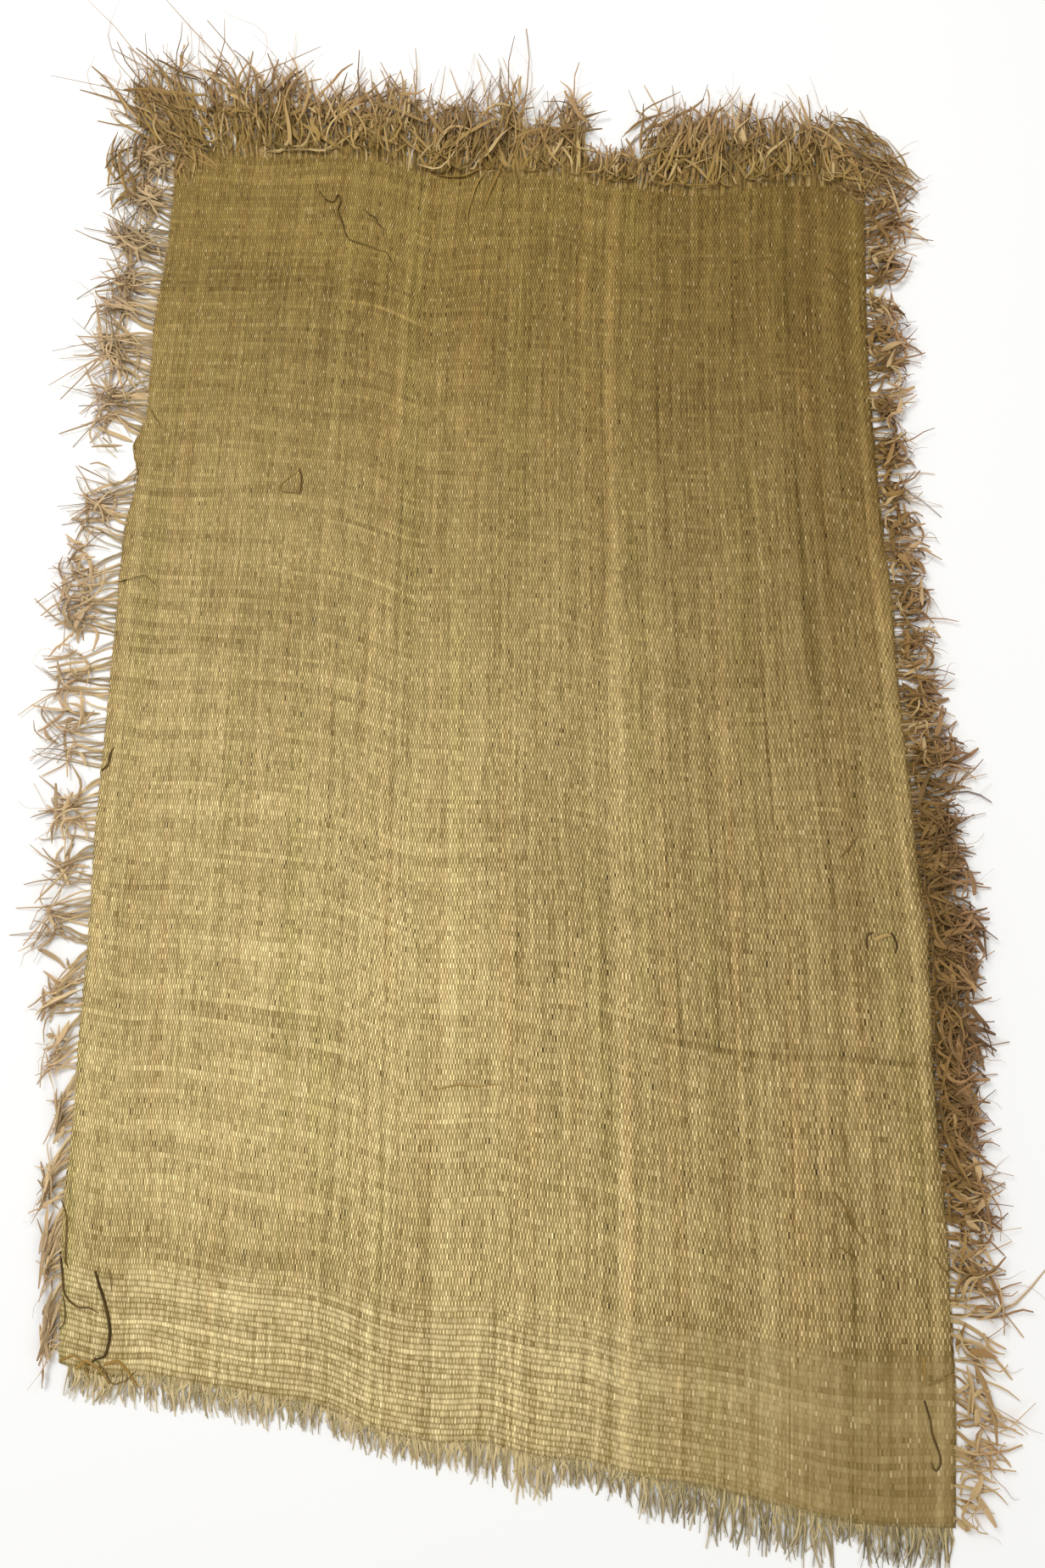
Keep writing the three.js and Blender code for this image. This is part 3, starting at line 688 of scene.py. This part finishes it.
SHEEN_TINT = "#E6D3A0"
# Tint of the upper end, partly the cloth's own olive and partly painted shade
UPPER_TONE_AND_SHADE_TINT = "#8F7842"
LOWER_TINT = "#C5B17E"
BAND_TINT = "#CFC49C"
# Tint towards the right, partly the cloth's own browner tone and partly painted shade
RIGHT_TONE_AND_SHADE_TINT = "#D8D1C7"
GREENER_TINT = "#F6FAEE"
PINKER_TINT = "#FEF8F3"
SHADE_TINT = "#F3E2B0"
# Colour of painted highlights on glinting floats
GLINT_TINT = "#EFE4BE"
PALE_FIBRE_TINT = "#C9B48A"
LOOSE_END_TINT = "#A98646"
FLOOR_TINTS = ("#F8F8F7", "#F3F3F1")
PALE_ROW_LEVEL = 0.84
GLINT_LEVEL = 1.58
HOLE_SHARE = 0.02
DARKEST = 0.12


def colour(text):
    """Linear colour of a hexadecimal sRGB one."""
    parts = [int(text[start:start + 2], 16) / 255 for start in (1, 3, 5)]
    linear = [part / 12.92 if part <= 0.04045 else ((part + 0.055) / 1.055) ** 2.4 for part in parts]
    return (*linear, 1.0)


class Graph:
    """Short calls for a material's nodes. Every call returns an output socket."""

    def __init__(self, name, roughness, sheen):
        self.material = bpy.data.materials.new(name)
        self.material.use_nodes = True
        self.tree = self.material.node_tree
        self.shader = self.tree.nodes["Principled BSDF"]
        self.shader.inputs["Roughness"].default_value = roughness
        self.shader.inputs["Sheen Weight"].default_value = sheen
        self.shader.inputs["Specular IOR Level"].default_value = 0.12
        self.shader.inputs["Sheen Tint"].default_value = colour(SHEEN_TINT)

    def node(self, kind):
        return self.tree.nodes.new("ShaderNode" + kind)

    def put(self, socket, value):
        """Links an input to another node's output, or sets its value."""
        if isinstance(value, bpy.types.NodeSocket):
            self.tree.links.new(value, socket)
        else:
            socket.default_value = value

    def math(self, operation, *values):
        node = self.node("Math")
        node.operation = operation
        for socket, value in zip(node.inputs, values):
            self.put(socket, value)
        return node.outputs[0]

    def times(self, first, second):
        return self.math("MULTIPLY", first, second)

    def plus(self, first, second):
        return self.math("ADD", first, second)

    def rest(self, share):
        """What a share leaves of one."""
        return self.math("SUBTRACT", 1.0, share)

    def vector(self, title):
        """The three parts of a named vector on the mesh's points."""
        node = self.node("Attribute")
        node.attribute_name = title
        split = self.node("SeparateXYZ")
        self.put(split.inputs[0], node.outputs["Vector"])
        return split.outputs

    def join(self, x, y=0.0, z=0.0):
        node = self.node("CombineXYZ")
        for socket, value in zip(node.inputs, (x, y, z)):
            self.put(socket, value)
        return node.outputs[0]

    def noise(self, x, y, z=0.0, detail=2.0):
        """Smooth noise about 0.5 over coordinates that are already scaled."""
        node = self.node("TexNoise")
        node.inputs["Scale"].default_value = 1.0
        node.inputs["Detail"].default_value = detail
        self.put(node.inputs["Vector"], self.join(x, y, z))
        return node.outputs[0]

    def speckle(self, x, y=0.0):
        """A separate random value for each pair of whole numbers."""
        node = self.node("TexWhiteNoise")
        node.noise_dimensions = "2D"
        self.put(node.inputs["Vector"], self.join(x, y))
        return node.outputs["Value"]

    def stripe(self, place, middle, half_width):
        """One at the middle of a stripe, falling smoothly to nothing at its edges."""
        away = self.math("ABSOLUTE", self.math("SUBTRACT", place, middle))
        return self.range(away, half_width, 0.0)

    def scaled(self, value, factor, offset=0.0):
        """A value times a factor, plus an offset."""
        return self.math("MULTIPLY_ADD", value, factor, offset)

    def range(self, value, low, high, start=0.0, end=1.0):
        """A smooth change from start to end while the value goes from low to high."""
        node = self.node("MapRange")
        node.interpolation_type = "SMOOTHSTEP"
        for socket, number in zip(node.inputs, (value, low, high, start, end)):
            self.put(socket, number)
        return node.outputs[0]

    def mix(self, share, first, second, blend="MIX"):
        node = self.node("Mix")
        node.data_type = "RGBA"
        node.blend_type = blend
        self.put(node.inputs[0], share)
        self.put(node.inputs[6], first)
        self.put(node.inputs[7], second)
        return node.outputs[2]

    def tinted(self, tint, other):
        """A colour times another one."""
        return self.mix(1.0, tint, colour(other), "MULTIPLY")

    def brighten(self, tint, factor):
        """A colour times a number."""
        node = self.node("VectorMath")
        node.operation = "SCALE"
        self.put(node.inputs[0], tint)
        self.put(node.inputs["Scale"], factor)
        return node.outputs[0]

    def length(self, vector):
        node = self.node("VectorMath")
        node.operation = "LENGTH"
        self.put(node.inputs[0], vector)
        return node.outputs["Value"]

    def finish(self, tint, height, distance, strength, roughness):
        """Joins the colour, the bumps and the roughness to the surface."""
        bump = self.node("Bump")
        bump.inputs["Strength"].default_value = strength
        bump.inputs["Distance"].default_value = distance
        self.put(bump.inputs["Height"], height)
        self.put(self.shader.inputs["Normal"], bump.outputs[0])
        self.put(self.shader.inputs["Base Color"], tint)
        self.put(self.shader.inputs["Roughness"], roughness)
        return self.material


def weave_material():
    """Plain weave of narrow warps over broader wefts, with a weft-faced band at the lower end."""
    g = Graph("raffia_weave", roughness=0.6, sheen=0.03)
    warp_place, weft_place, across = g.vector("thread")
    along = g.math("DIVIDE", weft_place, WEFTS)

    # Threads wander a little from their straight courses
    warp_drift = g.scaled(g.noise(g.scaled(warp_place, 0.09), g.scaled(weft_place, 0.03)), 0.9, -0.45)
    weft_drift = g.scaled(g.noise(g.scaled(warp_place, 0.015), g.scaled(weft_place, 0.22)), 1.6, -0.8)
    warp = g.plus(warp_place, warp_drift)
    wave = g.scaled(g.noise(g.scaled(across, 3.0), g.scaled(along, 4.0), 11.0), 5.0, -2.5)
    weft = g.plus(g.plus(weft_place, weft_drift), wave)
    warp_number, weft_number = g.math("FLOOR", warp), g.math("FLOOR", weft)
    warp_part, weft_part = g.math("FRACT", warp), g.math("FRACT", weft)
    parity = g.math("MODULO", g.plus(warp_number, weft_number), 2.0)
    warp_over = g.math("LESS_THAN", parity, 0.5)

    # Rounded tops of the threads
    warp_round = g.math("SINE", g.scaled(warp_part, math.pi))
    weft_round = g.math("SINE", g.scaled(weft_part, math.pi))
    float_length = g.scaled(g.math("POWER", weft_round, 0.6), 0.35, 0.65)
    lozenge = g.times(g.math("POWER", warp_round, 0.7), float_length)
    sunk = g.scaled(g.math("POWER", warp_round, 0.5), 0.14, 0.08)
    plain = g.plus(g.times(lozenge, warp_over), g.times(sunk, g.rest(warp_over)))

    # Weft-faced band at the lower end, where broad pale ribs cover the warps
    unevenness = g.scaled(g.noise(g.scaled(across, 9.0), 4.0), 0.02, -0.01)
    edge = g.plus(g.scaled(across, 0.03, 0.064), unevenness)
    edge = g.plus(edge, g.scaled(g.speckle(weft_number, 3.0), 0.012, -0.006))
    band = g.range(g.math("SUBTRACT", along, edge), 0.016, -0.012)
    smoothed = g.times(band, g.range(across, 0.5, 0.9, 0.0, 0.65))
    band = g.times(band, g.range(across, 0.6, 1.0, 1.0, 0.5))
    rib_height = g.scaled(g.math("POWER", weft_round, 0.8), 0.62, 0.06)
    rib_mixed = g.plus(g.scaled(rib_height, 0.55), g.scaled(plain, 0.45))
    height = g.plus(g.times(plain, g.rest(band)), g.times(rib_mixed, band))

    # Base tone: olive gold at the upper end, pale straw lower down, browner to the right. The darker
    # upper end and right side are partly the cloth's own tone and partly painted shade.
    lower = g.range(along, 0.95, 0.25)
    tint = g.mix(lower, colour(UPPER_TONE_AND_SHADE_TINT), colour(LOWER_TINT))
    rightward = g.range(across, 0.35, 1.05)
    paler = g.times(band, g.scaled(rightward, -0.15, 0.15))
    tint = g.mix(paler, tint, colour(BAND_TINT))
    tint = g.mix(rightward, tint, g.tinted(tint, RIGHT_TONE_AND_SHADE_TINT))

    # Greener and pinker threads in turn
    hue = g.noise(g.scaled(warp_place, 0.06), g.scaled(weft_place, 0.008), 13.0, 3.0)
    tint = g.mix(g.range(hue, 0.5, 0.72), tint, g.tinted(tint, GREENER_TINT))
    tint = g.mix(g.range(hue, 0.5, 0.3), tint, g.tinted(tint, PINKER_TINT))

    # Tones of single threads, of groups of threads, and of larger patches.
    # Columns of the noises: place across, its scale, place along, its scale, seed, strength
    tone = g.scaled(g.speckle(warp_number), 0.22, 0.95)
    rows_tone = g.times(band, g.scaled(g.speckle(weft_number, 5.0), 0.24, -0.17))
    tone = g.plus(tone, rows_tone)
    warp_share = g.range(across, 0.0, 0.7, 0.75, 1.25)
    weft_share = g.range(across, 0.1, 0.7, 0.85, 0.42)
    noises = (
        (warp_number, 3.7, weft_place, 0.04, 1.0, warp_share),
        (warp_place, 0.11, weft_place, 0.01, 5.0, g.scaled(warp_share, 0.5)),
        (across, 6.0, weft_number, 3.3, 7.0, weft_share),
        (across, 26.0, weft_number, 2.3, 9.0, 0.3),
        (across, 5.0, weft, 0.4, 8.0, g.scaled(weft_share, 0.15)),
        (across, 4.0, along, 7.0, 2.0, 0.2),
        (warp_place, 0.3, weft_place, 0.5, 6.0, 0.12),
        (warp, 1.4, weft, 1.6, 17.0, 0.5),
    )
    for x, x_scale, y, y_scale, seed, strength in noises:
        noise = g.noise(g.scaled(x, x_scale), g.scaled(y, y_scale), seed)
        tone = g.math("MULTIPLY_ADD", g.scaled(noise, 1.0, -0.5), strength, tone)
    for middle, half_width, strength in STREAKS:
        streak = g.stripe(g.scaled(warp_drift, 0.002, across), middle, half_width)
        tone = g.plus(tone, g.scaled(streak, strength))
    for place_across, place_along, radius, strength in PATCHES:
        away = g.join(g.math("SUBTRACT", across, place_across), g.math("SUBTRACT", along, place_along))
        tone = g.plus(tone, g.scaled(g.range(g.length(away), radius, 0.0), strength))

    # Calmer warps and fine rows at the right end of the band, and a few pale rows elsewhere
    tone = g.math("MULTIPLY_ADD", g.scaled(smoothed, 0.65), g.scaled(tone, -1.0, 0.92), tone)
    fine_rows = g.scaled(g.speckle(weft_number, 7.0), 0.28, -0.13)
    tone = g.math("MULTIPLY_ADD", smoothed, fine_rows, tone)
    pale_row = g.math("GREATER_THAN", g.speckle(weft_number, 9.0), PALE_ROW_LEVEL)
    pale_run = g.range(g.noise(g.scaled(across, 4.0), weft_number, 15.0), 0.5, 0.62)
    pale_run = g.times(pale_run, g.range(across, 0.3, 0.9, 0.16, 0.05))
    tone = g.math("MULTIPLY_ADD", pale_row, pale_run, tone)
    rows = g.math("DIVIDE", weft, WEFTS)
    for middle, half_width, strength, begin, stop in BANDS:
        extent = g.stripe(across, (begin + stop) / 2, (stop - begin) / 2)
        extent = g.math("MINIMUM", g.scaled(extent, 3.0), 1.0)
        row = g.scaled(g.stripe(rows, middle, half_width), strength)
        tone = g.plus(tone, g.times(row, extent))

    # Painted shade between the threads, painted glints on a few bright floats, and dark pinholes
    # painted as shade
    shade = g.scaled(height, 1.3, 0.32)
    quiet = g.plus(g.scaled(rightward, 0.26), g.range(along, 0.3, 0.8, 0.0, 0.25))
    quiet = g.math("MINIMUM", g.plus(quiet, smoothed), 0.8)
    shade = g.plus(shade, g.times(quiet, g.scaled(shade, -1.0, 0.86)))
    pair = g.speckle(g.math("FLOOR", g.scaled(warp, 0.5)), weft_number)
    cell = g.speckle(warp_number, weft_number)
    cell_tone = g.plus(g.scaled(pair, 0.3, 0.71), g.scaled(cell, 0.34))
    cell_tone = g.plus(cell_tone, g.times(quiet, g.scaled(cell_tone, -0.7, 0.63)))
    # Painted glints: a few floats made brighter and paler as if catching the light
    glint_row = g.noise(g.scaled(warp_place, 0.13), g.scaled(weft_number, 1.7), 3.0)
    glint = g.math("GREATER_THAN", g.plus(cell, g.scaled(glint_row, 1.2)), GLINT_LEVEL)
    glint = g.times(glint, g.times(lozenge, warp_over))
    # Pinholes darkened as painted shade where the weave is open
    hole = g.times(g.math("LESS_THAN", cell, HOLE_SHARE), g.rest(band))
    tone = g.times(g.times(tone, shade), cell_tone)
    tone = g.plus(tone, g.scaled(glint, 0.28))
    tone = g.math("SUBTRACT", tone, g.scaled(hole, 0.25))
    tint = g.mix(g.range(tone, 1.1, 0.3), tint, g.tinted(tint, SHADE_TINT))
    tint = g.brighten(tint, g.math("MAXIMUM", tone, DARKEST))
    tint = g.mix(g.scaled(glint, 0.2), tint, colour(GLINT_TINT))
    roughness = g.scaled(cell, 0.25, 0.45)
    return g.finish(tint, height, distance=0.0004, strength=0.6, roughness=roughness)


def fibre_material(name, root, tip, dark):
    """Dry raffia fibre, each strand of its own tone, with fine lines along it and painted shade at its
    roots.
    """
    g = Graph(name, roughness=0.6, sheen=0.03)
    tone, out, seed = g.vector("strand")
    along, across, _ = g.vector("fibre")
    tint = g.mix(g.range(out, 0.05, 0.7), colour(root), colour(tip))
    pale = g.range(tone, 0.75, 1.0)
    tint = g.mix(g.scaled(pale, 0.45), tint, colour(PALE_FIBRE_TINT))
    lines = g.noise(g.scaled(across, 9.0), g.scaled(along, 0.12), seed, 2.0)
    patches = g.noise(g.scaled(along, 0.08), seed, 1.0, 2.0)
    level = g.plus(g.scaled(tone, 1.2 - dark, dark), g.scaled(lines, 0.5, -0.25))
    level = g.plus(level, g.scaled(patches, 0.5, -0.25))
    # Painted shade at the roots, where the strands leave the weave
    level = g.times(level, g.range(out, 0.0, 0.12, 0.82, 1.0))
    tint = g.brighten(tint, g.math("MAXIMUM", level, DARKEST))
    roughness = g.scaled(lines, 0.3, 0.42)
    return g.finish(tint, lines, distance=0.0002, strength=0.35, roughness=roughness)


def floor_material():
    """Even pale ground with a trace of grain."""
    g = Graph("pale_floor", roughness=0.9, sheen=0.0)
    place = g.node("NewGeometry").outputs["Position"]
    grain = g.node("TexNoise")
    grain.inputs["Scale"].default_value = 6.0
    g.put(grain.inputs["Vector"], place)
    tint = g.mix(g.scaled(grain.outputs[0], 0.2), *map(colour, FLOOR_TINTS))
    g.put(g.shader.inputs["Base Color"], tint)
    return g.material


# Stage and light, in metres and watts

FLOOR_HALF = 6.0
SKY_COLOUR = (1.0, 0.99, 0.97, 1)
SKY_STRENGTH = 0.55


def floor():
    mesh = bpy.data.meshes.new("floor")
    corners = [(across * FLOOR_HALF, along * FLOOR_HALF, 0)
               for across, along in ((-1, -1), (1, -1), (1, 1), (-1, 1))]
    mesh.from_pydata(corners, [], [(0, 1, 2, 3)])
    mesh.materials.append(floor_material())
    piece = in_scene("floor", mesh)


def soft_light(name, place, size, power, aim=(0, 0, 0)):
    """A square lamp that faces the middle of the cloth."""
    lamp = bpy.data.lights.new(name, "AREA")
    lamp.shape = "SQUARE"
    lamp.size = size
    lamp.energy = power
    holder = in_scene(name, lamp)
    holder.location = place
    direction = Vector(aim) - Vector(place)
    holder.rotation_euler = direction.to_track_quat("-Z", "Y").to_euler()


def studio():
    world = bpy.data.worlds.new("studio")
    world.use_nodes = True
    background = world.node_tree.nodes["Background"]
    background.inputs["Color"].default_value = SKY_COLOUR
    background.inputs["Strength"].default_value = SKY_STRENGTH
    bpy.context.scene.world = world
    soft_light("key_light", place=(-1.1, 0.9, 2.0), size=1.2, power=36)
    soft_light("fill_light", place=(1.4, -0.9, 1.8), size=1.8, power=10)
    bpy.context.scene.view_settings.view_transform = "Standard"


# Camera as the photograph's: height over the ground, foot on it and pitch down from level, in
# metres and degrees. Lens and sensor are in millimetres.

CAMERA_HEIGHT = 0.74685
CAMERA_FOOT = (0.01733, -0.28158)
CAMERA_PITCH = 76.0
CAMERA_LENS = 27.0
CAMERA_SENSOR = 36.0
CAMERA_CLIP = (0.05, 20)


def camera():
    data = bpy.data.cameras.new("camera")
    data.lens = CAMERA_LENS
    data.sensor_width = CAMERA_SENSOR
    data.clip_start, data.clip_end = CAMERA_CLIP
    holder = in_scene("camera", data)
    holder.location = (*CAMERA_FOOT, CAMERA_HEIGHT)
    holder.rotation_euler = (math.radians(90 - CAMERA_PITCH), 0, 0)
    bpy.context.scene.camera = holder


# Whole scene

panel = woven_panel(weave_material())
fringes = [fringe(name, fibre_material("raffia_fibre_" + name, side["root"], side["tip"], side["dark"]))
           for name, side in SIDES.items()]
ends = loose_ends(fibre_material("raffia_fibre_loose", LOOSE_END_TINT, LOOSE_END_TINT, DARKEST))
floor()
studio()
camera()
